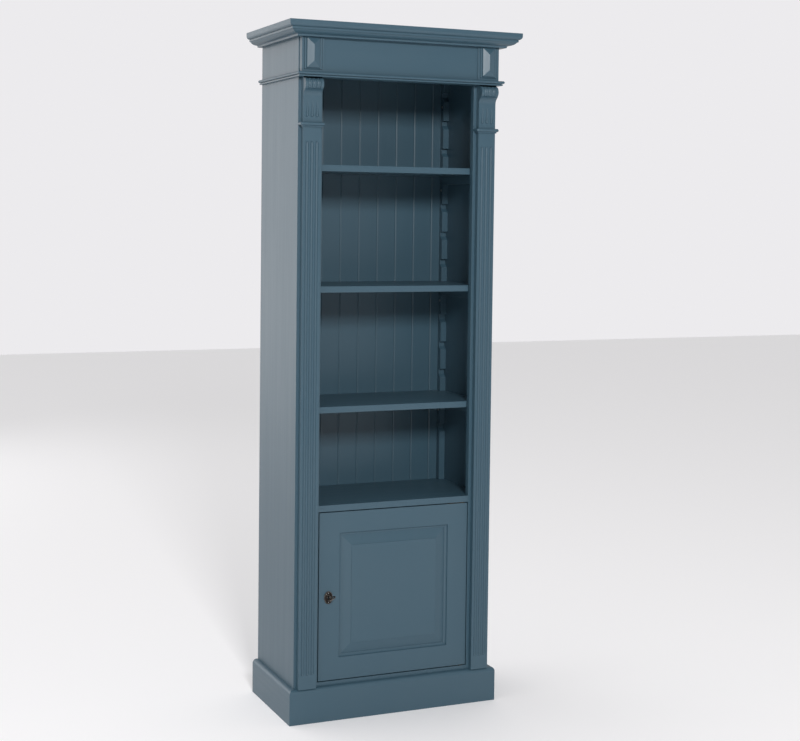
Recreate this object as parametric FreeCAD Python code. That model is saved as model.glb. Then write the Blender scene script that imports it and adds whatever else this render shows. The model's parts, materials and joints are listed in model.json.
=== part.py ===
"""Narrow bookcase of painted wood: an open upper part whose three shelves lie on cleats between toothed
rails, a fixed counter, and a low cupboard with one inset door on pivot hinges. Fluted pilasters with
carved consoles stand at the front corners, under a frieze and a moulded cornice.

Millimetres. X is to the right, Z is up and the front faces -Y. The origin lies on the floor, under the
middle of the outline seen from above."""

import FreeCAD, Part
import math
import os
from collections import namedtuple

# Overall sizes
overall_height = 2100.0
case_width = 653.0
case_depth = 340.0
cornice_overhang = 52.8
frieze_projection = 22.6

# Boards of the case
board_thickness = 19.2
side_thickness = 19.0
stile_width = 76.0
stile_thickness = 20.0
rebate_depth = 8.0
back_board_thickness = 12.0
back_board_pitch = 64.5
back_board_least = 20.0
back_recess = 7.5
back_v_groove = 2.5
back_tongue_length = 6.0
back_tongue_thickness = 4.0
back_tongue_play = 0.1
back_board_play = 0.3

# Heights, from the floor up and from the top down
plinth_height = 105.9
bottom_reveal = 11.5
door_height = 514.0
door_gap = 3.2
crown_board_thickness = 20.0
crown_height = 23.5
frieze_height = 102.0
necking_height = 14.0

# Plinth
plinth_thickness = 17.8
plinth_round = 13.0
plinth_back_thickness = 19.0
plinth_block_size = 28.0
plinth_block_height = 60.0

# Pilasters, their beads and their consoles
pilaster_width = 57.2
pilaster_thickness = 17.9
pilaster_top_drop = 147.5
flute_count = 3
flute_pitch = 15.4
flute_radius = 5.6
flute_depth = 3.6
flute_margin = 47.0
bead_radius = 5.0
bead_overhang = 9.6
bead_fillet_height = 4.0
bead_fillet_overhang = 3.2
scroll_radius = 19.5
scroll_edge_radius = 16.5
scroll_reach = 40.5
scroll_drop = 21.5
scroll_lobe_count = 3
scroll_band_width = 9.0
scroll_band_drop = 1.5
flare_reach = 14.0
flare_height = 21.0
gouge_length = 46.0
gouge_radius = 5.6
gouge_tip_radius = 0.6
gouge_depth = 4.4
gouge_foot = 20.0

# Frieze and its blocks
frieze_thickness = 19.1
block_width = 71.6
block_step = 1.2
block_groove_width = 1.2
block_groove_depth = 2.0
block_ring_width = 55.0
block_ring_foot = 8.5
block_field_width = 41.0
block_field_foot = 12.0
diamond_width = 40.0
diamond_height = 87.0
diamond_rise = 7.6
diamond_foot = 12.5

# Profiles of the mouldings, as overhang and height
necking_nose = 13.0
necking_step_reach = 8.5
necking_step_height = 4.0
necking_quirk_reach = 6.0
necking_quirk_height = 1.5
crown_foot_reach = 16.5
crown_foot_height = 3.0
crown_hollow_reach = 22.5
crown_hollow_height = 6.5
crown_hollow_share = 0.14
crown_brow_reach = 40.5
crown_brow_height = 16.5
crown_brow_share = 0.12
crown_band_reach = 43.5
crown_board_under_reach = 45.5
crown_board_round_height = 10.5
crown_board_round_share = 0.15

# Toothed rails, cleats and shelves
rail_width = 20.0
rail_depth = 22.0
notch_pitch = 91.2
first_notch_height = 186.8
notch_depth = 12.0
notch_shoulder = 15.0
rail_head_margin = 40.0
cleat_play = 0.3
shelf_recess = 14.8
shelf_front_play = 4.0
shelf_play = 1.5
shelf_notch_shares = (0.09, 0.42, 0.75)

# Door
door_thickness = 20.0
door_stile_width = 66.0
door_top_rail_width = 64.0
door_bottom_rail_width = 67.5
door_moulding_width = 9.0
door_moulding_depth = 8.0
door_moulding_fillet = 1.0
panel_edge_thickness = 6.0
panel_tongue = 6.0
panel_play = 1.0
panel_slot_play = 0.1
panel_setback = 9.0
panel_bevel_width = 31.0
panel_bevel_rise = 7.0
panel_step = 1.5
door_stop_length = 60.0
door_stop_height = 14.0
door_stop_depth = 12.0
door_stop_inset = 48.0
door_stop_play = 0.3

# Pivot hinges
pivot_inset = 16.0
pivot_radius = 3.0
pivot_play = 0.08
pivot_length = 7.0
pivot_socket_play = 0.4
leaf_thickness = 3.0
leaf_width = 12.0
leaf_length = 46.0
leaf_heel = 8.0
leaf_play = 0.1
leaf_screw_first = 18.0
leaf_screw_second = 36.0

# Lock, keeper, escutcheon and key
lock_width = 47.0
lock_height = 60.0
lock_depth = 12.0
lock_rise = 1.4
lock_play = 0.15
key_inset = 30.7
key_shank_radius = 2.4
key_shank_play = 0.08
key_reach = 20.0
key_tip_cover = 3.0
key_bow_length = 23.0
key_bow_width = 26.0
key_bow_thickness = 3.4
key_bow_rim = 5.0
key_bow_turn = 25.0
key_collar_radius = 4.0
key_collar_length = 3.0
key_bit_reach = 7.5
key_bit_length = 4.0
key_bit_thickness = 2.0
key_bit_room = 1.0
keyhole_slot_width = 3.0
keyhole_slot_drop = 8.6
keyhole_play = 0.6
bolt_thickness = 6.0
bolt_height = 12.0
bolt_length = 44.2
bolt_drop = 16.0
bolt_play = 0.2
bolt_throw = 8.0
talon_width = 3.0
talon_height = 4.5
talon_push_play = 0.3
talon_pull_play = 1.5
keeper_thickness = 1.5
keeper_height = 44.0
keeper_width = 12.0
keeper_slot_play = 0.6
keeper_pocket_depth = 8.0
keeper_screw_offset = 15.0
escutcheon_width = 28.0
escutcheon_height = 39.0
escutcheon_drop = 4.0
escutcheon_thickness = 1.4
escutcheon_rim_height = 2.6
escutcheon_rim_width = 2.6
escutcheon_pin_offset = 14.0
escutcheon_pin_radius = 0.8
escutcheon_pin_head_radius = 1.5
escutcheon_pin_length = 6.0

# Screws
screw_radius = 1.75
screw_head_radius = 3.5
screw_head_height = 2.0
screw_length = 14.0
lock_screw_length = 16.0
lock_screw_offset = 26.0
rail_screw_radius = 2.0
rail_screw_head_radius = 4.0
rail_screw_length = 32.0
rail_screw_count = 4
screw_play = 0.06

# Shared drawing values
overrun = 1.0
quarter_sag_share = (math.sqrt(2.0) - 1.0) / 2.0

# Places along X, measured from the middle
case_half = case_width / 2
inner_half = case_half - side_thickness
opening_half = case_half - stile_width
rail_half = inner_half - rail_width
pilaster_x = case_half - stile_width / 2

# Places along Y, from the cornice at the front to the back edges
overall_depth = cornice_overhang + frieze_projection + case_depth
face_y = cornice_overhang + frieze_projection - overall_depth / 2
frieze_y = face_y - frieze_projection
frieze_board_y = face_y - frieze_thickness
field_y = frieze_y - 2 * block_step
pilaster_y = face_y - pilaster_thickness
inner_y = face_y + stile_thickness
rear_y = face_y + case_depth
back_rear_y = rear_y - back_recess
back_y = back_rear_y - back_board_thickness

# Places along Z
crown_board_z = overall_height - crown_board_thickness
crown_z = crown_board_z - crown_height
frieze_z = crown_z - frieze_height
head_z = frieze_z - necking_height
top_panel_z = crown_board_z - board_thickness
bottom_top_z = plinth_height + bottom_reveal
bottom_z = bottom_top_z - board_thickness
door_z = bottom_top_z + door_gap
door_top_z = door_z + door_height
counter_z = door_top_z + door_gap
counter_top_z = counter_z + board_thickness
pilaster_top_z = head_z - pilaster_top_drop
bead_z = pilaster_top_z + bead_fillet_height + bead_radius
console_z = bead_z + bead_radius
lock_z = door_z + door_height / 2 + lock_rise

# Door outline and pivot axis
door_half = opening_half - door_gap
door_back_y = face_y + door_thickness
sight_half = door_half - door_stile_width
sight_z = door_z + door_bottom_rail_width
sight_top_z = door_top_z - door_top_rail_width
pivot_x = door_half - pivot_inset
pivot_y = face_y + door_thickness / 2
leaf_sink = leaf_thickness - door_gap / 2

# Lock and key places
key_x = key_inset - door_half
lock_y = door_back_y - lock_depth
bolt_y = lock_y + lock_depth / 2
bolt_z = lock_z - bolt_drop
escutcheon_z = lock_z - escutcheon_drop
key_tip_y = door_back_y - key_tip_cover

Arc = namedtuple("Arc", "through end")


def vector(x, y, z):
    return FreeCAD.Vector(x, y, z)


def block(x, y, z):
    """A box from three pairs of limits."""
    sizes = [max(pair) - min(pair) for pair in (x, y, z)]
    return Part.makeBox(*sizes, vector(min(x), min(y), min(z)))


def across_x(x):
    return lambda y, z: vector(x, y, z)


def across_y(y):
    return lambda x, z: vector(x, y, z)


def across_z(z):
    return lambda x, y: vector(x, y, z)


def swell(start, end, share):
    """An arc from start to end whose rise, to the left of the way, is a share of its chord."""
    run = (end[0] - start[0], end[1] - start[1])
    middle = ((start[0] + end[0]) / 2, (start[1] + end[1]) / 2)
    return Arc((middle[0] - run[1] * share, middle[1] + run[0] * share), end)


def outline(place, start, *moves):
    """A flat face: each move is the next corner, or an arc to it. The last side closes it."""
    edges = []
    here = place(*start)
    for move in moves + (start,):
        if isinstance(move, Arc):
            there = place(*move.end)
            edges.append(Part.Arc(here, place(*move.through), there).toShape())
        else:
            there = place(*move)
            edges.append(Part.makeLine(here, there))
        here = there
    return Part.Face(Part.Wire(edges))


def along_x(x, *corners):
    return outline(across_x(min(x)), *corners).extrude(vector(max(x) - min(x), 0, 0))


def along_y(y, *corners):
    return outline(across_y(min(y)), *corners).extrude(vector(0, max(y) - min(y), 0))


def along_z(z, *corners):
    return outline(across_z(min(z)), *corners).extrude(vector(0, 0, max(z) - min(z)))


def one(shape):
    """The single solid of a result, with its split faces joined."""
    solids = shape.Solids
    if len(solids) != 1:
        raise ValueError(f"{len(solids)} solids where one was meant")
    return solids[0].removeSplitter()


def fused(shapes):
    first, *others = shapes
    return first.multiFuse(others).removeSplitter() if others else first


def mirrored(shape):
    return shape.mirror(vector(0, 0, 0), vector(1, 0, 0))


def pair(shape):
    """The right-hand piece and its mirror image, by side."""
    return {"right": shape, "left": mirrored(shape)}


# Screws

def screw(head, way, length, radius=screw_radius, head_radius=screw_head_radius, play=0.0):
    """A countersunk screw from the middle of its head, and with play the hole that it fills."""
    cone = Part.makeCone(head_radius + play, radius + play, screw_head_height, head, way)
    shank = Part.makeCylinder(radius + play, length + play, head, way)
    return cone.fuse(shank).removeSplitter()


def leaf_screw_places(upper, moving):
    """Head middles and ways of the screws in one hinge leaf."""
    sign = -1 if upper else 1
    for reach in (leaf_screw_first, leaf_screw_second):
        if moving:
            level = door_top_z + door_gap / 2 if upper else door_z - door_gap / 2
            yield vector(pivot_x - reach, pivot_y, level), vector(0, 0, sign)
        else:
            level = counter_z - door_gap / 2 if upper else bottom_top_z + door_gap / 2
            yield vector(pivot_x, pivot_y + reach, level), vector(0, 0, -sign)


def lock_screw_places():
    for sign in (-1, 1):
        place = vector(key_x + lock_width / 4, door_back_y, lock_z + sign * lock_screw_offset)
        yield place, vector(0, -1, 0)


def keeper_screw_places():
    for sign in (-1, 1):
        yield vector(-opening_half, bolt_y, bolt_z + sign * keeper_screw_offset), vector(-1, 0, 0)


def rail_screw_places():
    """Head middles and ways of the screws of all four toothed rails, on solid stretches of them."""
    run = top_panel_z - counter_top_z
    for rail_y in (inner_y + rail_depth / 2, back_y - rail_depth / 2):
        for index in range(rail_screw_count):
            wanted = counter_top_z + run * (index + 0.5) / rail_screw_count
            nearest = round((wanted - first_notch_z()) / notch_pitch)
            level = first_notch_z() + (nearest + 0.5) * notch_pitch
            for sign in (-1, 1):
                yield vector(sign * rail_half, rail_y, level), vector(sign, 0, 0)


def with_holes(shape, places, length, radius=screw_radius, head_radius=screw_head_radius):
    holes = [screw(head, way, length, radius, head_radius, screw_play) for head, way in places]
    return one(shape.cut(Part.makeCompound(holes)))


# Case

def side_panel():
    panel = block((inner_half, case_half), (inner_y, rear_y), (0, crown_board_z))
    rebate = block(
        (inner_half - overrun, inner_half + rebate_depth),
        (back_y, rear_y + overrun),
        (bottom_z, crown_board_z + overrun),
    )
    return panel.cut(rebate)


def side_panels():
    sides = pair(side_panel())
    places = list(rail_screw_places())
    return {
        side: with_holes(
            panel, places, rail_screw_length, rail_screw_radius, rail_screw_head_radius
        )
        for side, panel in sides.items()
    }


def stile():
    return block((opening_half, case_half), (face_y, inner_y), (0, crown_board_z))


def keeper_pocket():
    """The room behind the keeper that the bolt enters."""
    half_height = bolt_height / 2 + keeper_slot_play
    half_width = bolt_thickness / 2 + keeper_slot_play
    seat = -opening_half - keeper_thickness
    return block(
        (seat - keeper_pocket_depth, seat + overrun),
        (bolt_y - half_width, bolt_y + half_width),
        (bolt_z - half_height, bolt_z + half_height),
    )


def stile_left():
    seat = block(
        (-opening_half - keeper_thickness, -opening_half + overrun),
        (bolt_y - keeper_width / 2, bolt_y + keeper_width / 2),
        (bolt_z - keeper_height / 2, bolt_z + keeper_height / 2),
    )
    cut = mirrored(stile()).cut(seat).cut(keeper_pocket())
    return with_holes(cut, keeper_screw_places(), screw_length)


def keeper_plate():
    plate = block(
        (-opening_half - keeper_thickness, -opening_half),
        (bolt_y - keeper_width / 2, bolt_y + keeper_width / 2),
        (bolt_z - keeper_height / 2, bolt_z + keeper_height / 2),
    )
    slot = keeper_pocket().translate(vector(keeper_thickness, 0, 0))
    return with_holes(plate.cut(slot), keeper_screw_places(), screw_length)


def head_rail():
    return block((-opening_half, opening_half), (face_y, inner_y), (head_z, crown_board_z))


def top_panel():
    return block((-inner_half, inner_half), (inner_y, back_y), (top_panel_z, crown_board_z))


def notched_board(z):
    """A board between the sides whose front edge comes forward between the stiles."""
    return along_z(
        (z, z + board_thickness),
        (-opening_half, face_y),
        (opening_half, face_y),
        (opening_half, inner_y),
        (inner_half, inner_y),
        (inner_half, back_y),
        (-inner_half, back_y),
        (-inner_half, inner_y),
        (-opening_half, inner_y),
    )


def case_leaf(upper, play=0.0):
    """The leaf of a pivot hinge that is let into the case."""
    middle = counter_z if upper else bottom_top_z
    outward = -1 if upper else 1
    inner_level = middle - outward * (leaf_sink + play)
    outer_level = middle + outward * door_gap / 2
    half = leaf_width / 2 + play
    return block(
        (pivot_x - half, pivot_x + half),
        (pivot_y - leaf_heel - play, pivot_y + leaf_length + play),
        (inner_level, outer_level),
    )


def counter_board():
    board = notched_board(counter_z).cut(case_leaf(True, leaf_play))
    return with_holes(board, leaf_screw_places(True, False), screw_length)


def bottom_board():
    board = notched_board(bottom_z).cut(case_leaf(False, leaf_play))
    return with_holes(board, leaf_screw_places(False, False), screw_length)


def back_board(left, right, has_groove, has_tongue):
    """One vertical board from left to right, with a V edge at each joint."""
    front, rear = back_y, back_rear_y
    middle = (front + rear) / 2
    slot = back_tongue_thickness / 2 + back_tongue_play
    tongue = back_tongue_thickness / 2
    left_v = back_v_groove if has_groove else 0
    right_v = back_v_groove if has_tongue else 0
    corners = [(left + left_v, front), (right - right_v, front)]
    if has_tongue:
        corners += [
            (right, front + back_v_groove),
            (right, middle - tongue),
            (right + back_tongue_length, middle - tongue),
            (right + back_tongue_length, middle + tongue),
            (right, middle + tongue),
        ]
    corners += [(right, rear), (left, rear)]
    if has_groove:
        depth = back_tongue_length + back_board_play
        corners += [
            (left, middle + slot),
            (left + depth, middle + slot),
            (left + depth, middle - slot),
            (left, middle - slot),
            (left, front + back_v_groove),
        ]
    return along_z((bottom_z, crown_board_z), *corners)


def back_boards():
    """Whole boards from the middle outwards, and one cut to fit at each side."""
    half = inner_half + rebate_depth - back_board_play
    count = int((half - back_board_least) // back_board_pitch)
    joints = [step * back_board_pitch for step in range(-count, count + 1)]
    edges = [-half] + joints + [half]
    boards = []
    for index, (left, right) in enumerate(zip(edges, edges[1:])):
        is_last = index == len(edges) - 2
        boards.append(back_board(left, right, index > 0, not is_last))
    return Part.makeCompound(boards)


# Plinth

def mitred_front(side_half, front, reach, sink, *corners):
    """A moulding along the front: corners are overhang and height, and both ends are mitred."""
    far = side_half + reach
    bar = along_x((-far, far), *[flipped(corner, front) for corner in corners])
    low, high = bar.BoundBox.ZMin, bar.BoundBox.ZMax
    wedge = along_z(
        (low, high),
        (-side_half - reach, front - reach),
        (side_half + reach, front - reach),
        (side_half - sink, front + sink),
        (-side_half + sink, front + sink),
    )
    return one(bar.common(wedge))


def mitred_side(side_half, front, reach, *corners):
    """The right-hand run of the same moulding, from the mitre back to the rear edge."""
    placed = [shifted(corner, side_half) for corner in corners]
    bar = along_y((front - reach, rear_y), *placed)
    low, high = bar.BoundBox.ZMin, bar.BoundBox.ZMax
    wedge = along_z(
        (low, high),
        (side_half, front),
        (side_half + reach, front - reach),
        (side_half + reach, rear_y),
        (side_half, rear_y),
    )
    return one(bar.common(wedge))


def moved(corner, change):
    if isinstance(corner, Arc):
        return Arc(change(corner.through), change(corner.end))
    return change(corner)


def flipped(corner, front):
    return moved(corner, lambda spot: (front - spot[0], spot[1]))


def shifted(corner, side_half):
    return moved(corner, lambda spot: (side_half + spot[0], spot[1]))


def plinth_profile():
    round_start = (plinth_thickness, plinth_height - plinth_round)
    round_end = (plinth_thickness - plinth_round, plinth_height)
    return (
        (0, 0),
        (plinth_thickness, 0),
        round_start,
        swell(round_start, round_end, -quarter_sag_share),
        (0, plinth_height),
    )


def plinth_front():
    return mitred_front(case_half, face_y, plinth_thickness, 0, *plinth_profile())


def plinth_sides():
    return pair(mitred_side(case_half, face_y, plinth_thickness, *plinth_profile()))


def plinth_back_rail():
    return block((-inner_half, inner_half), (back_y - plinth_back_thickness, back_y), (0, bottom_z))


def plinth_blocks():
    """Four glue blocks under the bottom board, in the corners of the base."""
    size = plinth_block_size
    front = (inner_y, inner_y + size)
    rear_end = back_y - plinth_back_thickness
    blocks = []
    for sign in (-1, 1):
        span = (sign * inner_half, sign * (inner_half - size))
        for depth in (front, (rear_end - size, rear_end)):
            blocks.append(block(span, depth, (bottom_z - plinth_block_height, bottom_z)))
    return Part.makeCompound(blocks)


# Cornice, frieze and necking

def crown_profile(sink):
    """From the underside up: a narrow foot, a small hollow, a round brow and a square band."""
    foot = (crown_foot_reach, crown_z + crown_foot_height)
    hollow = (crown_hollow_reach, crown_z + crown_hollow_height)
    brow = (crown_brow_reach, crown_z + crown_brow_height)
    return (
        (-sink, crown_z),
        (crown_foot_reach, crown_z),
        foot,
        swell(foot, hollow, crown_hollow_share),
        swell(hollow, brow, -crown_brow_share),
        (crown_band_reach, brow[1]),
        (crown_band_reach, crown_board_z),
        (-sink, crown_board_z),
    )


def crown_front():
    sink = frieze_projection - frieze_thickness
    return mitred_front(case_half, frieze_y, crown_band_reach, sink, *crown_profile(sink))


def crown_sides():
    return pair(mitred_side(case_half, frieze_y, crown_band_reach, *crown_profile(0)))


def crown_board_edge():
    """The edge of the top slab: a square face, rounded below towards the moulding."""
    under = (crown_board_under_reach, crown_board_z)
    round_end = (cornice_overhang, crown_board_z + crown_board_round_height)
    return (
        (0, crown_board_z),
        under,
        swell(under, round_end, -crown_board_round_share),
        (cornice_overhang, overall_height),
        (0, overall_height),
    )


def crown_board():
    """The top slab, with its moulded edge along the front and both sides."""
    core = block((-case_half, case_half), (frieze_y, rear_y), (crown_board_z, overall_height))
    front = mitred_front(case_half, frieze_y, cornice_overhang, 0, *crown_board_edge())
    sides = pair(mitred_side(case_half, frieze_y, cornice_overhang, *crown_board_edge()))
    return one(fused([core, front, *sides.values()]))


def frieze_board():
    """The board behind both mouldings, drawn in at its ends between them."""
    half = pilaster_x + block_width / 2
    board = block((-case_half, case_half), (frieze_board_y, face_y), (head_z, crown_board_z))
    ends = [
        block(
            (sign * half, sign * (case_half + overrun)),
            (frieze_board_y - overrun, face_y + overrun),
            (frieze_z, crown_z),
        )
        for sign in (-1, 1)
    ]
    return one(board.cut(Part.makeCompound(ends)))


def block_plate(width, foot, front, rear):
    """An upright plate in the middle of the frieze block, from foot above its lower edge to the crown."""
    span = (pilaster_x - width / 2, pilaster_x + width / 2)
    return block(span, (front, rear), (frieze_z + foot, crown_z))


def frieze_block():
    """A plate over the right pilaster with two low steps on it, each inside a narrow groove."""
    shape = block_plate(block_width, 0, frieze_y, frieze_board_y)
    base = frieze_y
    for width, foot in ((block_ring_width, block_ring_foot), (block_field_width, block_field_foot)):
        sunk_width, sunk_foot = width + 2 * block_groove_width, foot - block_groove_width
        floor = base + block_groove_depth
        shape = shape.cut(block_plate(sunk_width, sunk_foot, base - overrun, floor))
        shape = shape.fuse(block_plate(width, foot, base - block_step, floor))
        base -= block_step
    return one(shape)


def frieze_diamond():
    """A long hipped pyramid on the block, with a vertical ridge."""
    half = diamond_width / 2
    low = frieze_z + diamond_foot
    high = low + diamond_height
    tip = field_y - diamond_rise
    across = along_z(
        (low, high), (pilaster_x - half, field_y), (pilaster_x, tip), (pilaster_x + half, field_y)
    )
    down = along_x(
        (pilaster_x - half, pilaster_x + half),
        (field_y, low),
        (tip, low + half),
        (tip, high - half),
        (field_y, high),
    )
    return one(across.common(down))


def necking_profile(sink):
    """A square step at the foot, a narrow quirk and a round nose above it."""
    quirk_low = head_z + necking_step_height
    nose_low = (necking_step_reach, quirk_low + necking_quirk_height)
    nose_high = (necking_step_reach, frieze_z)
    return (
        (-sink, head_z),
        (necking_step_reach, head_z),
        (necking_step_reach, quirk_low),
        (necking_quirk_reach, quirk_low),
        (necking_quirk_reach, nose_low[1]),
        nose_low,
        Arc((necking_nose, (nose_low[1] + nose_high[1]) / 2), nose_high),
        (-sink, frieze_z),
    )


def necking_front():
    sink = frieze_projection - frieze_thickness
    return mitred_front(case_half, frieze_y, necking_nose, sink, *necking_profile(sink))


def necking_sides():
    return pair(mitred_side(case_half, frieze_y, necking_nose, *necking_profile(0)))


# Pilasters

def flute_places():
    first = pilaster_x - flute_pitch * (flute_count - 1) / 2
    return [first + flute_pitch * index for index in range(flute_count)]


def pilaster():
    half = pilaster_width / 2
    shaft = block(
        (pilaster_x - half, pilaster_x + half),
        (pilaster_y, face_y),
        (plinth_height, pilaster_top_z),
    )
    axis_y = pilaster_y + flute_depth - flute_radius
    low, high = plinth_height + flute_margin, pilaster_top_z - flute_margin
    cutters = []
    for x in flute_places():
        foot, head = vector(x, axis_y, low), vector(x, axis_y, high)
        cutters.append(Part.makeCylinder(flute_radius, high - low, foot))
        cutters.append(Part.makeSphere(flute_radius, foot))
        cutters.append(Part.makeSphere(flute_radius, head))
    return one(shaft.cut(fused(cutters)))


def pilaster_bead():
    """A half round with ball corners over a small fillet, around three sides of the pilaster."""
    half = pilaster_width / 2
    nose = bead_overhang - bead_radius
    fillet_half = half + bead_fillet_overhang
    fillet = block(
        (pilaster_x - fillet_half, pilaster_x + fillet_half),
        (pilaster_y - bead_fillet_overhang, face_y),
        (pilaster_top_z, bead_z),
    )
    line_half, line_y = half + nose, pilaster_y - nose
    core = block(
        (pilaster_x - line_half, pilaster_x + line_half),
        (line_y, face_y),
        (bead_z - bead_radius, bead_z + bead_radius),
    )
    corner = vector(pilaster_x - line_half, line_y, bead_z)
    rounds = [Part.makeCylinder(bead_radius, 2 * line_half, corner, vector(1, 0, 0))]
    for sign in (-1, 1):
        end = vector(pilaster_x + sign * line_half, line_y, bead_z)
        rounds.append(Part.makeSphere(bead_radius, end))
        rounds.append(Part.makeCylinder(bead_radius, face_y - line_y, end, vector(0, 1, 0)))
    return one(fused([fillet, core] + rounds))


def scroll_ring(left, right, crest, axis_y, axis_z):
    """One turning of the scroll around its axis: ends given as place and radius, and a crest between."""
    section = outline(
        lambda along, out: vector(along, axis_y, axis_z + out),
        (left[0], 0),
        left,
        Arc(((left[0] + right[0]) / 2, crest), right),
        (right[0], 0),
    )
    return section.revolve(vector(left[0], axis_y, axis_z), vector(1, 0, 0), 360)


def scroll(axis_y, axis_z):
    """Three reeds between two plain bands whose outer edges are rounded off."""
    half = pilaster_width / 2
    reeds_half = half - scroll_band_width
    reed_width = 2 * reeds_half / scroll_lobe_count
    inner_radius = scroll_radius - scroll_band_drop
    crest = (inner_radius + scroll_edge_radius) / 2 + scroll_band_drop / 2
    rings = []
    for index in range(scroll_lobe_count):
        start = pilaster_x - reeds_half + reed_width * index
        left, right = (start, scroll_edge_radius), (start + reed_width, scroll_edge_radius)
        rings.append(scroll_ring(left, right, scroll_radius, axis_y, axis_z))
    for sign in (-1, 1):
        outer = (pilaster_x + sign * half, scroll_edge_radius - scroll_band_drop)
        inner = (pilaster_x + sign * reeds_half, inner_radius)
        left, right = sorted((outer, inner))
        rings.append(scroll_ring(left, right, crest, axis_y, axis_z))
    return rings


def tangent_sag_share(run, rise):
    """The share for an arc that leaves a line along its rise without a corner."""
    return math.tan(math.atan2(run, rise) / 2) / 2


def console():
    """The carved block under the frieze: a reeded scroll, a flaring face and three gouges."""
    half = pilaster_width / 2
    axis_y = face_y - scroll_reach + scroll_radius
    axis_z = head_z - scroll_drop
    flare_top = (pilaster_y - flare_reach, axis_z - scroll_edge_radius)
    flare_foot = (pilaster_y, flare_top[1] - flare_height)
    flare_share = tangent_sag_share(flare_reach, flare_height)
    body = along_x(
        (pilaster_x - half, pilaster_x + half),
        (face_y, console_z),
        (pilaster_y, console_z),
        flare_foot,
        swell(flare_foot, flare_top, -flare_share),
        (axis_y, axis_z),
        (axis_y, head_z),
        (face_y, head_z),
    )
    carved = fused([body] + scroll(axis_y, axis_z)).cut(fused(console_gouges()))
    room = block(
        (pilaster_x - half, pilaster_x + half),
        (face_y, face_y - scroll_reach - overrun),
        (console_z, head_z),
    )
    return one(carved.common(room))


def console_gouges():
    """Tapering hollows, round at the foot and pointed at the top, in line with the flutes."""
    foot_z = console_z + gouge_foot
    foot_y = pilaster_y + gouge_depth - gouge_radius
    tip_y = pilaster_y - gouge_tip_radius
    lean = vector(0, tip_y - foot_y, gouge_length)
    gouges = []
    for x in flute_places():
        foot = vector(x, foot_y, foot_z)
        gouges.append(Part.makeCone(gouge_radius, gouge_tip_radius, lean.Length, foot, lean))
        gouges.append(Part.makeSphere(gouge_radius, foot))
    return gouges


# Toothed rails, cleats and shelves

def first_notch_z():
    return counter_top_z + first_notch_height


def notch_levels():
    """The top of each notch, up to the highest that leaves wood above it."""
    room = top_panel_z - rail_head_margin - first_notch_z()
    return [first_notch_z() + notch_pitch * step for step in range(int(room // notch_pitch) + 1)]


def toothed_rail(front, way):
    """A right-hand rail whose notches open along Y, forwards (-1) or backwards (1)."""
    mouth = front if way < 0 else front + rail_depth
    floor = mouth - way * notch_depth
    outside = mouth + way * overrun
    blank = block((rail_half, inner_half), (front, front + rail_depth), (counter_top_z, top_panel_z))
    notches = []
    for level in notch_levels():
        lip = level - notch_shoulder - notch_depth
        notches.append(
            along_x(
                (rail_half - overrun, inner_half + overrun),
                (outside, level),
                (floor, level),
                (floor, level - notch_shoulder),
                (mouth, lip),
                (outside, lip),
            )
        )
    return one(blank.cut(Part.makeCompound(notches)))


def toothed_rails():
    rails = {}
    for name, front, way in (("front", inner_y, 1), ("rear", back_y - rail_depth, -1)):
        for side, rail in pair(toothed_rail(front, way)).items():
            rails[f"toothed_rail_{name}_{side}"] = with_holes(
                rail,
                rail_screw_places(),
                rail_screw_length,
                rail_screw_radius,
                rail_screw_head_radius,
            )
    return rails


def cleat(level):
    """The right-hand bar between the rails, whose ends fill the notches below level."""
    front_mouth, rear_mouth = inner_y + rail_depth, back_y - rail_depth
    shoulder = level - notch_shoulder - cleat_play
    foot = level - notch_shoulder - notch_depth
    front_end = front_mouth - notch_depth + cleat_play
    rear_end = rear_mouth + notch_depth - cleat_play
    return along_x(
        (rail_half, inner_half - cleat_play),
        (front_end, level),
        (front_end, shoulder),
        (front_mouth, foot),
        (rear_mouth, foot),
        (rear_end, shoulder),
        (rear_end, level),
    )


def shelf(level):
    """A loose board cut around the stiles and the four rails, lying on its cleats at level."""
    tongue = opening_half - shelf_front_play
    narrow = rail_half - shelf_play
    wide = inner_half - shelf_play
    front = face_y + shelf_recess
    steps = (
        (tongue, front),
        (tongue, inner_y + shelf_play),
        (narrow, inner_y + shelf_play),
        (narrow, inner_y + rail_depth + shelf_play),
        (wide, inner_y + rail_depth + shelf_play),
        (wide, back_y - rail_depth - shelf_play),
        (narrow, back_y - rail_depth - shelf_play),
        (narrow, back_y - shelf_play),
    )
    mirror_steps = [(-x, y) for x, y in reversed(steps)]
    return along_z((level, level + board_thickness), *steps, *mirror_steps)


def shelf_levels():
    levels = notch_levels()
    return [levels[round((len(levels) - 1) * share)] for share in shelf_notch_shares]


# Door

def funnel():
    """What the moulded opening of the door frame takes out, from the front down to the panel."""
    fillet = door_moulding_fillet
    width, depth = door_moulding_width, door_moulding_depth

    def walls(low, high):
        outer = (high, face_y + fillet)
        inner = (high - width + fillet, face_y + depth)
        far_inner = (low + width - fillet, face_y + depth)
        far_outer = (low, face_y + fillet)
        return (
            (low, face_y - overrun),
            (high, face_y - overrun),
            outer,
            swell(outer, inner, -quarter_sag_share),
            (high - width, face_y + depth),
            (high - width, door_back_y + overrun),
            (low + width, door_back_y + overrun),
            (low + width, face_y + depth),
            far_inner,
            swell(far_inner, far_outer, -quarter_sag_share),
        )

    upright = along_z((door_z, door_top_z), *walls(-sight_half, sight_half))
    turned = [moved(corner, lambda spot: (spot[1], spot[0])) for corner in walls(sight_z, sight_top_z)]
    level = along_x((-door_half, door_half), *turned)
    return upright.common(level)


def panel_slot():
    """The groove in the frame that holds the edge of the panel."""
    out = panel_tongue + panel_play - door_moulding_width
    start = face_y + panel_setback - panel_slot_play
    return block(
        (-sight_half - out, sight_half + out),
        (start, start + panel_edge_thickness + 2 * panel_slot_play),
        (sight_z - out, sight_top_z + out),
    )


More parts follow.
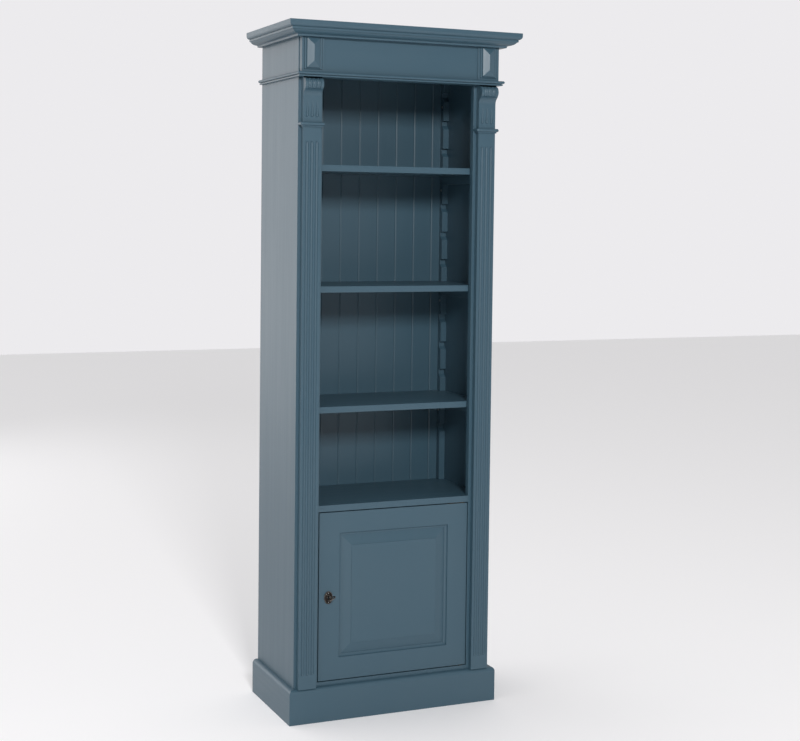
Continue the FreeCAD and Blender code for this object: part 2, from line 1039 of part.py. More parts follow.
def door_frame():
    slab = block((-door_half, door_half), (face_y, door_back_y), (door_z, door_top_z))
    return slab.cut(funnel()).cut(panel_slot())


def door_stile_outline():
    """The right stile seen from the front, with its moulded edge mitred to the rails."""
    edge = sight_half - door_moulding_width
    return (
        (door_half, door_z),
        (door_half, door_top_z),
        (sight_half, door_top_z),
        (sight_half, sight_top_z),
        (edge, sight_top_z - door_moulding_width),
        (edge, sight_z + door_moulding_width),
        (sight_half, sight_z),
        (sight_half, door_z),
    )


def door_leaf(upper, play=0.0):
    """The leaf of a pivot hinge that is let into the door."""
    middle = door_top_z if upper else door_z
    outward = 1 if upper else -1
    half = leaf_width / 2 + play
    return block(
        (pivot_x - leaf_length - play, pivot_x + leaf_heel + play),
        (pivot_y - half, pivot_y + half),
        (middle - outward * (leaf_sink + play), middle + outward * door_gap / 2),
    )


def pivot_pin(upper, radius, play=0.0):
    """The pin of a case leaf, through the door's leaf and into the door."""
    start = door_top_z + door_gap / 2 if upper else door_z - door_gap / 2
    way = -1 if upper else 1
    reach = leaf_thickness + pivot_length + play
    return Part.makeCylinder(radius, reach, vector(pivot_x, pivot_y, start), vector(0, 0, way))


def hinge_cuts():
    cuts = []
    for upper in (False, True):
        cuts.append(door_leaf(upper, leaf_play))
        cuts.append(pivot_pin(upper, pivot_radius + pivot_socket_play, pivot_socket_play))
        for head, way in leaf_screw_places(upper, True):
            cuts.append(screw(head, way, screw_length, play=screw_play))
    return Part.makeCompound(cuts)


def door_stiles():
    prism = along_y((face_y, door_back_y), *door_stile_outline())
    right = door_frame().common(prism).cut(hinge_cuts())
    left = door_frame().common(mirrored(prism)).cut(lock_room()).cut(keyhole(face_y, lock_y))
    left = with_holes(left, lock_screw_places(), lock_screw_length)
    left = left.cut(Part.makeCompound([pin_hole(place) for place in escutcheon_pin_places()]))
    return {"hinge": one(right), "lock": one(left)}


def door_rails():
    prism = along_y((face_y, door_back_y), *door_stile_outline())
    rails = door_frame().cut(prism).cut(mirrored(prism)).cut(hinge_cuts())
    low, high = sorted(rails.Solids, key=lambda solid: solid.CenterOfMass.z)
    return {"bottom": low, "top": high}


def door_panel():
    """A raised panel: a flat field, a small step, a wide bevel and an edge in the frame's groove."""
    out = panel_tongue - door_moulding_width
    edge_y = face_y + panel_setback
    rear = edge_y + panel_edge_thickness
    bevel_top = edge_y - panel_bevel_rise
    field = bevel_top - panel_step

    def section(low, high):
        inset = door_moulding_width + panel_bevel_width
        return (
            (low - out, edge_y),
            (low + door_moulding_width, edge_y),
            (low + inset, bevel_top),
            (low + inset, field),
            (high - inset, field),
            (high - inset, bevel_top),
            (high - door_moulding_width, edge_y),
            (high + out, edge_y),
            (high + out, rear),
            (low - out, rear),
        )

    upright = along_z((sight_z - out, sight_top_z + out), *section(-sight_half, sight_half))
    turned = [(spot[1], spot[0]) for spot in section(sight_z, sight_top_z)]
    level = along_x((-sight_half - out, sight_half + out), *turned)
    return one(upright.common(level))


def door_stop():
    """A small block under the counter that the closed door meets."""
    start = -door_half + door_stop_inset
    front = door_back_y + door_stop_play
    return block(
        (start, start + door_stop_length),
        (front, front + door_stop_depth),
        (counter_z - door_stop_height, counter_z),
    )


# Hinges

def case_leaves():
    leaves = []
    for upper in (False, True):
        leaf = case_leaf(upper).fuse(pivot_pin(upper, pivot_radius))
        leaves.append(with_holes(leaf, leaf_screw_places(upper, False), screw_length))
    return Part.makeCompound(leaves)


def door_leaves():
    leaves = []
    for upper in (False, True):
        leaf = door_leaf(upper).cut(pivot_pin(upper, pivot_radius + pivot_play, overrun))
        leaves.append(with_holes(leaf, leaf_screw_places(upper, True), screw_length))
    return Part.makeCompound(leaves)


# Lock and key

def lock_room():
    return lock_block(lock_play)


def lock_block(play=0.0):
    left = -door_half
    return block(
        (left, left + lock_width + play),
        (lock_y - play, door_back_y),
        (lock_z - lock_height / 2 - play, lock_z + lock_height / 2 + play),
    )


def keyhole(front, rear):
    """A round hole for the shank over a slot for the bit, from front to rear."""
    start = vector(key_x, front - overrun, lock_z)
    length = rear - front + 2 * overrun
    hole = Part.makeCylinder(
        key_shank_radius + keyhole_play, length, start, vector(0, 1, 0)
    )
    half = keyhole_slot_width / 2
    slot = block(
        (key_x - half, key_x + half),
        (front - overrun, rear + overrun),
        (lock_z - keyhole_slot_drop, lock_z),
    )
    return hole.fuse(slot)


def bolt_channel():
    half_height = bolt_height / 2 + bolt_play
    half_depth = bolt_thickness / 2 + bolt_play
    left = -door_half
    way = block(
        (left - overrun, left + bolt_length + bolt_play),
        (bolt_y - half_depth, bolt_y + half_depth),
        (bolt_z - half_height, bolt_z + half_height),
    )
    first, last = talon_faces()
    headroom = block(
        (first - talon_width - bolt_throw - bolt_play, last + talon_width + bolt_play),
        (bolt_y - half_depth, bolt_y + half_depth),
        (bolt_z, bolt_z + bolt_height / 2 + talon_height + bolt_play),
    )
    return way.fuse(headroom)


def talon_faces():
    """The two faces on the bolt that the key's bit pushes, with the bolt drawn in."""
    thrown = key_x + bolt_throw
    push = thrown - key_bit_thickness / 2 - talon_push_play
    pull = thrown + key_bit_thickness / 2 + talon_pull_play
    return push, pull


def bit_limits():
    """Where the key's bit starts and ends along Y."""
    middle = lock_y + lock_depth / 2
    return middle - key_bit_length / 2, middle + key_bit_length / 2


def lock_case():
    """The mortised lock: a closed box with room for the bolt and for the turning bit."""
    low, high = bit_limits()
    room = Part.makeCylinder(
        key_bit_reach + key_bit_room,
        high - low + key_bit_room,
        vector(key_x, low - key_bit_room / 2, lock_z),
        vector(0, 1, 0),
    )
    bore = Part.makeCylinder(
        key_shank_radius + key_shank_play,
        key_tip_y - lock_y + overrun + key_shank_play,
        vector(key_x, lock_y - overrun, lock_z),
        vector(0, 1, 0),
    )
    case = lock_block().cut(bolt_channel()).cut(room).cut(bore).cut(keyhole(lock_y, low))
    return with_holes(case, lock_screw_places(), lock_screw_length)


def lock_bolt():
    """The bolt, with two talons that the bit moves between."""
    left = -door_half
    depth = (bolt_y - bolt_thickness / 2, bolt_y + bolt_thickness / 2)
    bar = block(
        (left, left + bolt_length), depth, (bolt_z - bolt_height / 2, bolt_z + bolt_height / 2)
    )
    first, last = talon_faces()
    rise = (bolt_z, bolt_z + bolt_height / 2 + talon_height)
    talons = [
        block((first - talon_width, first), depth, rise),
        block((last, last + talon_width), depth, rise),
    ]
    return one(fused([bar] + talons))


def oval(half_x, half_other, place):
    """A flat oval face: place turns its two coordinates into a point."""
    tall = half_other > half_x
    far = place(0, half_other) if tall else place(half_x, 0)
    near = place(half_x, 0) if tall else place(0, half_other)
    ellipse = Part.Ellipse(far, near, place(0, 0))
    return Part.Face(Part.Wire([ellipse.toShape()]))


def escutcheon_pin_places():
    for sign in (-1, 1):
        level = escutcheon_z + sign * escutcheon_pin_offset
        yield vector(key_x, face_y - escutcheon_thickness, level)


def escutcheon_pin(place):
    shank = Part.makeCylinder(escutcheon_pin_radius, escutcheon_pin_length, place, vector(0, 1, 0))
    head = Part.makeSphere(escutcheon_pin_head_radius, place)
    front = block(
        (place.x - escutcheon_pin_head_radius, place.x + escutcheon_pin_head_radius),
        (place.y - escutcheon_pin_head_radius, place.y),
        (place.z - escutcheon_pin_head_radius, place.z + escutcheon_pin_head_radius),
    )
    return one(head.common(front).fuse(shank))


def pin_hole(place):
    return Part.makeCylinder(
        escutcheon_pin_radius + screw_play,
        escutcheon_pin_length + screw_play,
        place,
        vector(0, 1, 0),
    )


def escutcheon():
    """An oval plate with a raised rim and a keyhole."""
    half_x, half_z = escutcheon_width / 2, escutcheon_height / 2
    rim = escutcheon_rim_width
    rim_y = face_y - escutcheon_rim_height
    plate_y = face_y - escutcheon_thickness

    def on_door(y):
        return lambda x, z: vector(key_x + x, y, escutcheon_z + z)

    whole = oval(half_x, half_z, on_door(rim_y)).extrude(vector(0, escutcheon_rim_height, 0))
    dish = oval(half_x - rim, half_z - rim, on_door(rim_y - overrun))
    dish = dish.extrude(vector(0, plate_y - rim_y + overrun, 0))
    holes = [pin_hole(place) for place in escutcheon_pin_places()]
    cuts = [keyhole(rim_y, face_y)] + holes
    return one(whole.cut(dish).cut(Part.makeCompound(cuts)))


def key():
    """Shank, collar, bit and a flat oval bow, turned a little out of level."""
    bow_front = face_y - key_reach
    way = vector(0, 1, 0)
    shank = Part.makeCylinder(
        key_shank_radius, key_tip_y - bow_front, vector(key_x, bow_front, lock_z), way
    )
    collar = Part.makeCylinder(
        key_collar_radius, key_collar_length, vector(key_x, bow_front, lock_z), way
    )
    low, high = bit_limits()
    half = key_bit_thickness / 2
    bit = block((key_x, key_x + key_bit_reach), (low, high), (lock_z - half, lock_z + half))
    middle_y = bow_front - key_bow_length / 2 + key_collar_radius / 2
    bow_low = lock_z - key_bow_thickness / 2

    def level(x, y):
        return vector(key_x + x, middle_y + y, bow_low)

    rise = vector(0, 0, key_bow_thickness)
    half_x, half_y = key_bow_width / 2, key_bow_length / 2
    plate = oval(half_x, half_y, level).extrude(rise)
    hole = oval(half_x - key_bow_rim, half_y - key_bow_rim, level).extrude(rise)
    bow = plate.cut(hole)
    bow.rotate(vector(key_x, middle_y, lock_z), way, -key_bow_turn)
    return one(fused([shank, collar, bit, bow]))


# Groups of fasteners

def case_screws():
    screws = [screw(head, way, screw_length) for head, way in keeper_screw_places()]
    for upper in (False, True):
        screws += [screw(head, way, screw_length) for head, way in leaf_screw_places(upper, False)]
    for head, way in rail_screw_places():
        screws.append(
            screw(head, way, rail_screw_length, rail_screw_radius, rail_screw_head_radius)
        )
    return Part.makeCompound(screws)


def door_screws():
    screws = [screw(head, way, lock_screw_length) for head, way in lock_screw_places()]
    for upper in (False, True):
        screws += [screw(head, way, screw_length) for head, way in leaf_screw_places(upper, True)]
    screws += [escutcheon_pin(place) for place in escutcheon_pin_places()]
    return Part.makeCompound(screws)


def named(name, sides):
    return {f"{name}_{side}": shape for side, shape in sides.items()}


def case_parts():
    parts = {
        "stile_left": stile_left(),
        "stile_right": stile(),
        "head_rail": head_rail(),
        "top_panel": top_panel(),
        "counter_board": counter_board(),
        "bottom_board": bottom_board(),
        "back_boards": back_boards(),
        "plinth_front": plinth_front(),
        "plinth_back_rail": plinth_back_rail(),
        "plinth_blocks": plinth_blocks(),
        "crown_board": crown_board(),
        "crown_moulding_front": crown_front(),
        "frieze_board": frieze_board(),
        "necking_front": necking_front(),
        "keeper_plate": keeper_plate(),
        "door_stop": door_stop(),
        "hinge_leaves_case": case_leaves(),
        "case_screws": case_screws(),
    }
    parts.update(named("side_panel", side_panels()))
    parts.update(named("plinth", plinth_sides()))
    parts.update(named("crown_moulding", crown_sides()))
    parts.update(named("necking", necking_sides()))
    parts.update(named("frieze_block", pair(frieze_block())))
    parts.update(named("frieze_diamond", pair(frieze_diamond())))
    parts.update(named("pilaster", pair(pilaster())))
    parts.update(named("pilaster_bead", pair(pilaster_bead())))
    parts.update(named("console", pair(console())))
    parts.update(toothed_rails())
    return parts


def shelf_parts():
    parts = {}
    for number, level in enumerate(reversed(shelf_levels()), start=1):
        parts[f"shelf_{number}"] = shelf(level)
        parts.update(named(f"cleat_{number}", pair(cleat(level))))
    return parts


def door_parts():
    parts = {
        "door_panel": door_panel(),
        "hinge_leaves_door": door_leaves(),
        "lock_case": lock_case(),
        "lock_bolt": lock_bolt(),
        "escutcheon": escutcheon(),
        "key": key(),
        "door_screws": door_screws(),
    }
    parts.update({f"door_stile_{name}": shape for name, shape in door_stiles().items()})
    parts.update({f"door_rail_{name}": shape for name, shape in door_rails().items()})
    return parts


def main():
    os.makedirs("parts", exist_ok=True)
    parts = {**case_parts(), **shelf_parts(), **door_parts()}
    for name, shape in parts.items():
        if not shape.isValid():
            raise ValueError(f"{name} is not a valid shape")
        shape.exportStep(f"parts/{name}.step")


main()
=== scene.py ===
"""Looks of the narrow bookcase: satin blue-grey paint on every board, a dark antique key and
its plate, and the small metal pieces. Metres, in the frame of the construction; the front
faces -Y."""

import json
import math

import bmesh
import bpy
from mathutils import Matrix, Vector


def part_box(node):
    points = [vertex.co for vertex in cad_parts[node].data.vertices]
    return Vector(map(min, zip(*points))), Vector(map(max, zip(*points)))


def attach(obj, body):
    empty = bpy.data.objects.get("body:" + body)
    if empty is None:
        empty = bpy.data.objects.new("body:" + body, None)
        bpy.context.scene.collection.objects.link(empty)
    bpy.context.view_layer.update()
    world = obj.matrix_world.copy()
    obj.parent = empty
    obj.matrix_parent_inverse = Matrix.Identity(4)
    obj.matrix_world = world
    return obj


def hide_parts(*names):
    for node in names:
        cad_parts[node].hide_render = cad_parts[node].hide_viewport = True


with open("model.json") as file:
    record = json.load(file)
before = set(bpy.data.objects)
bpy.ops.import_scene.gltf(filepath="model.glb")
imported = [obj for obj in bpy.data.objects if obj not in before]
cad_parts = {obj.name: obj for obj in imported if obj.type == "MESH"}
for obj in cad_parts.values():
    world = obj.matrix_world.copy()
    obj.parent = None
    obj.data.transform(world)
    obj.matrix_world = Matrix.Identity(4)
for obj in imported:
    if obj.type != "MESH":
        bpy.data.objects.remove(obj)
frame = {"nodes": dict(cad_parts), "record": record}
bpy.context.scene.view_settings.view_transform = "Standard"
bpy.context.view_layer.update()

# Camera: where it stood, how it was turned, and the frame it saw
camera_place = Vector((-1.8371, -4.3664, 1.5366))
camera_yaw = 0.410544
camera_pitch = 0.049883
camera_roll = 0.011959
image_width = 800
image_height = 741
focal_pixels = 1511.24
centre_column = 399.254
centre_row = 290.253
sensor_width = 36.0

# World light: full from behind and from the left, its shares from the front, the right and above
world_strength = 0.86
world_front_share = 0.16
world_back_start = 0.2
world_right_share = 0.35
world_top_share = 1.8
world_top_start = 0.1

# What shiny faces mirror at least, from the middle to the far right
mirrored_right_start = 0.40
mirrored_right_full = 0.65

# Lamps
key_lamp_place = (-1.46, -6.1, 3.5)
key_lamp_power = 290.0
key_lamp_size = 1.0
side_lamp_place = (-2.9, 5.2, 1.75)
side_lamp_power = 52.0
side_lamp_size = 3.3
lamp_target = (0.0, 0.0, 1.2)

# Floor
floor_half = 12.0
floor_roughness = 0.8
floor_glow = 0.11

# Colours, linear
paint_tone = (0.034, 0.080, 0.114)
paint_tone_dusty = (0.043, 0.088, 0.120)
floor_tone = (0.86, 0.85, 0.86)
wall_tone = (0.84, 0.83, 0.85)
bare_wood_tone = (0.50, 0.34, 0.18)
bare_wood_dark_tone = (0.36, 0.22, 0.11)
iron_dark_tone = (0.016, 0.012, 0.010)
iron_worn_tone = (0.34, 0.33, 0.31)
lock_iron_tone = (0.30, 0.30, 0.30)
# Brass hue darkened far below its own tone as painted shade, so the hinge leaf seen through the
# door gap stays as dark as the gap
brass_painted_shade_tone = (0.10, 0.075, 0.040)
zinc_tone = (0.46, 0.47, 0.48)

# Clouds and streaks that the materials share
cloud_detail = 3.0
cloud_roughness = 0.5
streak_detail = 2.0
fine_streak_roughness = 0.6
broad_streak_roughness = 0.5
broad_streak_scale = 0.12
broad_streak_weight = 1.5

# Paint: scales of its clouds and streaks, roughness from and to, strength and height of the bumps
paint_cloud_scale = 5.0
paint_grain_scale = 700.0
paint_grain_stretch = 0.03
paint_roughness = (0.36, 0.46)
paint_bumps = (0.25, 0.00006)

# Bare wood, in the same way
wood_grain_scale = 260.0
wood_grain_stretch = 0.05
wood_roughness = (0.6, 0.8)
wood_bumps = (0.4, 0.0002)

# Antique metal: where it is rubbed bright, and its finish when dark and when worn
wear_start = 0.545
wear_end = 0.59
wear_unevenness = 0.03
dull_shine = 0.1
antique_cloud_scale = 220.0
antique_roughness = (0.62, 0.36)
antique_bumps = (0.3, 0.0001)

# Plain metals
metal_cloud_scale = 120.0
metal_dark_share = 0.8
metal_roughness_spread = 0.15
metal_bumps = (0.2, 0.00005)
brass_roughness = 0.3
lock_iron_roughness = 0.45
zinc_roughness = 0.35

# Edges of boards and carvings
weld_distance = 0.00001
edge_round = 0.0009
edge_angle = math.radians(32)
edge_segments = 2
facet_angle = math.radians(10)
facet_round = 0.0004
crisp_angle = math.radians(50)

# Boards whose grain runs across the bookcase, and boards whose grain runs from front to back
level_boards = (
    "head_rail", "top_panel", "counter_board", "bottom_board", "crown_board", "frieze_board",
    "crown_moulding_front", "necking_front", "plinth_front", "door_rail", "door_stop", "shelf",
)
deep_boards = (
    "crown_moulding_left", "crown_moulding_right", "necking_left", "necking_right",
    "plinth_left", "plinth_right", "cleat",
)

# Consoles: the pilaster's face, the flare above it, and the scroll
shaft_reach = 0.0179
console_reach = 0.0405
flare_reach = 0.014
flare_height = 0.021
scroll_radius = 0.0195
scroll_drop = 0.0215
scroll_edge_radius = 0.0165
scroll_top_turn = math.radians(88)
scroll_band = 0.009
band_drop = 0.0016
console_columns = 120
console_step = 0.0009

# Reeds of the scroll, and the knobs above them
reed_count = 3
reed_depth = 0.0034
reed_floor_share = 0.85
reed_groove = 0.0017
reed_groove_share = 0.22
reed_low_turn = math.radians(-55)
reed_low_fade = math.radians(12)
reed_high_turn = math.radians(50)
reed_high_fade = math.radians(14)
reed_scallop = math.radians(13)
knob_turn = math.radians(62)
knob_rise = 0.00234
knob_spread = 0.0024

# Gouges above the bead
gouge_foot = 0.020
gouge_length = 0.046
gouge_radius = 0.0056
gouge_tip = 0.0006
gouge_depth = 0.0044
gouge_pitch = 0.0154

# Plate of the keyhole: inset and rise of its rolled rim and chased line, and the hole
plate_columns = 72
plate_rise = 0.0014
plate_profile = (
    (0.0, 0.0), (0.0, 0.0009), (0.0003, 0.0017), (0.0008, 0.0023), (0.0014, 0.0026),
    (0.0020, 0.0024), (0.0026, 0.0018), (0.0031, plate_rise), (0.0039, plate_rise),
    (0.0041, 0.0011), (0.0044, 0.0011), (0.0046, plate_rise),
)
keyhole_rise = 0.004
keyhole_radius = 0.003
keyhole_slot = 0.0015
keyhole_foot = -0.0046
keyhole_middle = 0.002
keyhole_edge = 0.0003

# Key: its bow of round rod, then the turned collar as way along and radius, the shank and the bit
bow_turn = math.radians(25)
bow_width = 0.026
bow_length = 0.023
bow_rim = 0.005
bow_thickness = 0.0034
bow_steps = 64
rod_steps = 16
shank_steps = 24
shank_radius = 0.0024
shank_tip = 0.0005
shank_tip_inset = 0.0006
collar_overlap = 0.6
collar_profile = (
    (0.0, 0.0), (0.0, 0.0022), (0.0010, 0.0030), (0.0018, 0.0038), (0.0030, 0.0040),
    (0.0040, 0.0037), (0.0048, 0.0027), (0.0056, 0.0031), (0.0064, 0.0031), (0.0072, 0.0025),
    (0.0080, shank_radius),
)
bit_half = 0.001
bit_reach = 0.0075
bit_low = -0.0050
bit_high = -0.0010
bit_cut_reach = 0.0052
bit_cut_low = -0.0038
bit_cut_high = -0.0030

# Sockets of a Mix node: its two colours, and the colour it gives
mix_first = 6
mix_second = 7
mix_result = 2


# Shader nodes

def feed(tree, value, socket):
    """Links another socket to this one, or sets a plain value on it."""
    if hasattr(value, "links"):
        tree.links.new(value, socket)
    else:
        socket.default_value = value


def math_node(tree, operation, first, second):
    node = tree.nodes.new("ShaderNodeMath")
    node.operation = operation
    feed(tree, first, node.inputs[0])
    feed(tree, second, node.inputs[1])
    return node.outputs[0]


def map_range(tree, value, low, high, start=0.0, end=1.0):
    """Goes from low to high while the value goes from start to end."""
    node = tree.nodes.new("ShaderNodeMapRange")
    node.inputs["From Min"].default_value = start
    node.inputs["From Max"].default_value = end
    node.inputs["To Min"].default_value = low
    node.inputs["To Max"].default_value = high
    tree.links.new(value, node.inputs["Value"])
    return node.outputs[0]


def noise_node(tree, vector, scale, detail, roughness):
    node = tree.nodes.new("ShaderNodeTexNoise")
    node.inputs["Detail"].default_value = detail
    node.inputs["Roughness"].default_value = roughness
    tree.links.new(vector, node.inputs["Vector"])
    tree.links.new(scale, node.inputs["Scale"])
    return node.outputs["Fac"]


def mix_colour(tree, factor, first, second):
    """The first tone where the factor is 0, the second where it is 1."""
    node = tree.nodes.new("ShaderNodeMix")
    node.data_type = "RGBA"
    tree.links.new(factor, node.inputs["Factor"])
    node.inputs[mix_first].default_value = (*first, 1.0)
    node.inputs[mix_second].default_value = (*second, 1.0)
    return node.outputs[mix_result]


def bump(tree, height, strength, distance):
    node = tree.nodes.new("ShaderNodeBump")
    node.inputs["Strength"].default_value = strength
    node.inputs["Distance"].default_value = distance
    tree.links.new(height, node.inputs["Height"])
    return node.outputs["Normal"]


def object_place(tree):
    return tree.nodes.new("ShaderNodeTexCoord").outputs["Object"]


# Shared effects

def new_group(name, inputs, outputs):
    """An empty shader node group with float or vector sockets, and its two end nodes."""
    group = bpy.data.node_groups.new(name, "ShaderNodeTree")
    kinds = {"float": "NodeSocketFloat", "vector": "NodeSocketVector"}
    for way, sockets in (("INPUT", inputs), ("OUTPUT", outputs)):
        for label, kind in sockets.items():
            group.interface.new_socket(label, in_out=way, socket_type=kinds[kind])
    return group, group.nodes.new("NodeGroupInput"), group.nodes.new("NodeGroupOutput")


def make_mottle():
    """Slow cloudy change across a surface, from 0 to 1."""
    group, start, end = new_group(
        "mottle", {"Vector": "vector", "Scale": "float"}, {"Cloud": "float"}
    )
    place, scale = start.outputs["Vector"], start.outputs["Scale"]
    cloud = noise_node(group, place, scale, cloud_detail, cloud_roughness)
    group.links.new(cloud, end.inputs["Cloud"])
    return group


def make_brush_grain():
    """Fine streaks along one way: their height, and a mask of the streaks."""
    group, start, end = new_group(
        "brush_grain",
        {"Vector": "vector", "Stretch": "vector", "Scale": "float"},
        {"Height": "float", "Streaks": "float"},
    )
    stretch = group.nodes.new("ShaderNodeVectorMath")
    stretch.operation = "MULTIPLY"
    group.links.new(start.outputs["Vector"], stretch.inputs[0])
    group.links.new(start.outputs["Stretch"], stretch.inputs[1])
    place = stretch.outputs[0]
    fine = noise_node(group, place, start.outputs["Scale"], streak_detail, fine_streak_roughness)
    broad_scale = math_node(group, "MULTIPLY", start.outputs["Scale"], broad_streak_scale)
    broad = noise_node(group, place, broad_scale, streak_detail, broad_streak_roughness)
    weighted = math_node(group, "MULTIPLY", broad, broad_streak_weight)
    group.links.new(math_node(group, "ADD", fine, weighted), end.inputs["Height"])
    group.links.new(broad, end.inputs["Streaks"])
    return group


def place_group(tree, group, **values):
    node = tree.nodes.new("ShaderNodeGroup")
    node.node_tree = group
    for label, value in values.items():
        feed(tree, value, node.inputs[label])
    return node.outputs


mottle = make_mottle()
brush_grain = make_brush_grain()


# Materials

def new_material(name):
    material = bpy.data.materials.new(name)
    material.use_nodes = True
    tree = material.node_tree
    return material, tree, tree.nodes["Principled BSDF"]


def satin_paint(name, stretch):
    """Sprayed satin paint over wood: cloudy tone, and faint streaks of the grain under it."""
    material, tree, shader = new_material(name)
    place = object_place(tree)
    cloud = place_group(tree, mottle, Vector=place, Scale=paint_cloud_scale)["Cloud"]
    grain = place_group(tree, brush_grain, Vector=place, Stretch=stretch, Scale=paint_grain_scale)
    tone = mix_colour(tree, cloud, paint_tone, paint_tone_dusty)
    rough = map_range(tree, grain["Streaks"], *paint_roughness)
    tree.links.new(tone, shader.inputs["Base Color"])
    tree.links.new(rough, shader.inputs["Roughness"])
    tree.links.new(bump(tree, grain["Height"], *paint_bumps), shader.inputs["Normal"])
    return material


def bare_wood():
    """Sawn wood without paint, with streaks of its grain."""
    material, tree, shader = new_material("bare_wood")
    place = object_place(tree)
    stretch = (wood_grain_stretch, 1.0, 1.0)
    grain = place_group(tree, brush_grain, Vector=place, Stretch=stretch, Scale=wood_grain_scale)
    tone = mix_colour(tree, grain["Streaks"], bare_wood_tone, bare_wood_dark_tone)
    rough = map_range(tree, grain["Streaks"], *wood_roughness)
    tree.links.new(tone, shader.inputs["Base Color"])
    tree.links.new(rough, shader.inputs["Roughness"])
    tree.links.new(bump(tree, grain["Height"], *wood_bumps), shader.inputs["Normal"])
    return material


def antique_metal():
    """Dark browned metal, dull in the hollows, whose high spots are rubbed bright."""
    material, tree, shader = new_material("antique_metal")
    place = object_place(tree)
    cloud = place_group(tree, mottle, Vector=place, Scale=antique_cloud_scale)["Cloud"]
    edge = tree.nodes.new("ShaderNodeNewGeometry").outputs["Pointiness"]
    uneven = math_node(tree, "ADD", edge, math_node(tree, "MULTIPLY", cloud, wear_unevenness))
    worn = map_range(tree, uneven, 0.0, 1.0, wear_start, wear_end)
    tone = mix_colour(tree, worn, iron_dark_tone, iron_worn_tone)
    rough = map_range(tree, worn, *antique_roughness)
    tree.links.new(tone, shader.inputs["Base Color"])
    tree.links.new(worn, shader.inputs["Metallic"])
    tree.links.new(rough, shader.inputs["Roughness"])
    tree.links.new(bump(tree, cloud, *antique_bumps), shader.inputs["Normal"])
    shader.inputs["Specular IOR Level"].default_value = dull_shine
    return material


def plain_metal(name, tone, roughness):
    """Metal of one tone, a little darker and rougher in clouds."""
    material, tree, shader = new_material(name)
    place = object_place(tree)
    cloud = place_group(tree, mottle, Vector=place, Scale=metal_cloud_scale)["Cloud"]
    darker = tuple(metal_dark_share * channel for channel in tone)
    rough = map_range(tree, cloud, roughness, roughness + metal_roughness_spread)
    tree.links.new(mix_colour(tree, cloud, tone, darker), shader.inputs["Base Color"])
    tree.links.new(rough, shader.inputs["Roughness"])
    tree.links.new(bump(tree, cloud, *metal_bumps), shader.inputs["Normal"])
    shader.inputs["Metallic"].default_value = 1.0
    return material


paint_upright = satin_paint("satin_paint_upright", (1.0, 1.0, paint_grain_stretch))
paint_level = satin_paint("satin_paint_level", (paint_grain_stretch, 1.0, 1.0))
paint_deep = satin_paint("satin_paint_deep", (1.0, paint_grain_stretch, 1.0))
dark_metal = antique_metal()
unpainted = {
    "dark_metal": dark_metal,
    # hinge brass in a painted-shade tone, darkened so the leaf in the door gap reads dark
    "hinge_brass": plain_metal("rolled_brass_painted_shade", brass_painted_shade_tone, brass_roughness),
    "lock_iron": plain_metal("lock_iron", lock_iron_tone, lock_iron_roughness),
    "screw_steel": plain_metal("zinc_steel", zinc_tone, zinc_roughness),
    "bare_wood": bare_wood(),
}


# Camera, lamps, world and floor

def make_camera():
    """The camera of the photograph."""
    ahead = Vector((
        math.sin(camera_yaw) * math.cos(camera_pitch),
        math.cos(camera_yaw) * math.cos(camera_pitch),
        -math.sin(camera_pitch),
    ))
    level = Vector((math.cos(camera_yaw), -math.sin(camera_yaw), 0.0))
    upright = level.cross(ahead)
    right = level * math.cos(camera_roll) + upright * math.sin(camera_roll)
    up = upright * math.cos(camera_roll) - level * math.sin(camera_roll)
    data = bpy.data.cameras.new("photo_camera")
    data.sensor_width = sensor_width
    data.lens = focal_pixels / image_width * sensor_width
    data.shift_x = (image_width / 2 - centre_column) / image_width
    data.shift_y = (centre_row - image_height / 2) / image_width
    camera = bpy.data.objects.new("photo_camera", data)
    turn = Matrix((right, up, -ahead)).transposed().to_4x4()
    camera.matrix_world = Matrix.Translation(camera_place) @ turn
    bpy.context.scene.collection.objects.link(camera)
    bpy.context.scene.camera = camera


def area_lamp(name, place, size, power):
    """A square soft lamp that looks at the middle of the bookcase."""
    data = bpy.data.lights.new(name, "AREA")
    data.shape = "SQUARE"
    data.size = size
    data.energy = power
    lamp = bpy.data.objects.new(name, data)
    lamp.location = place
    way = Vector(lamp_target) - Vector(place)
    lamp.rotation_euler = way.to_track_quat("-Z", "Y").to_euler()
    bpy.context.scene.collection.objects.link(lamp)


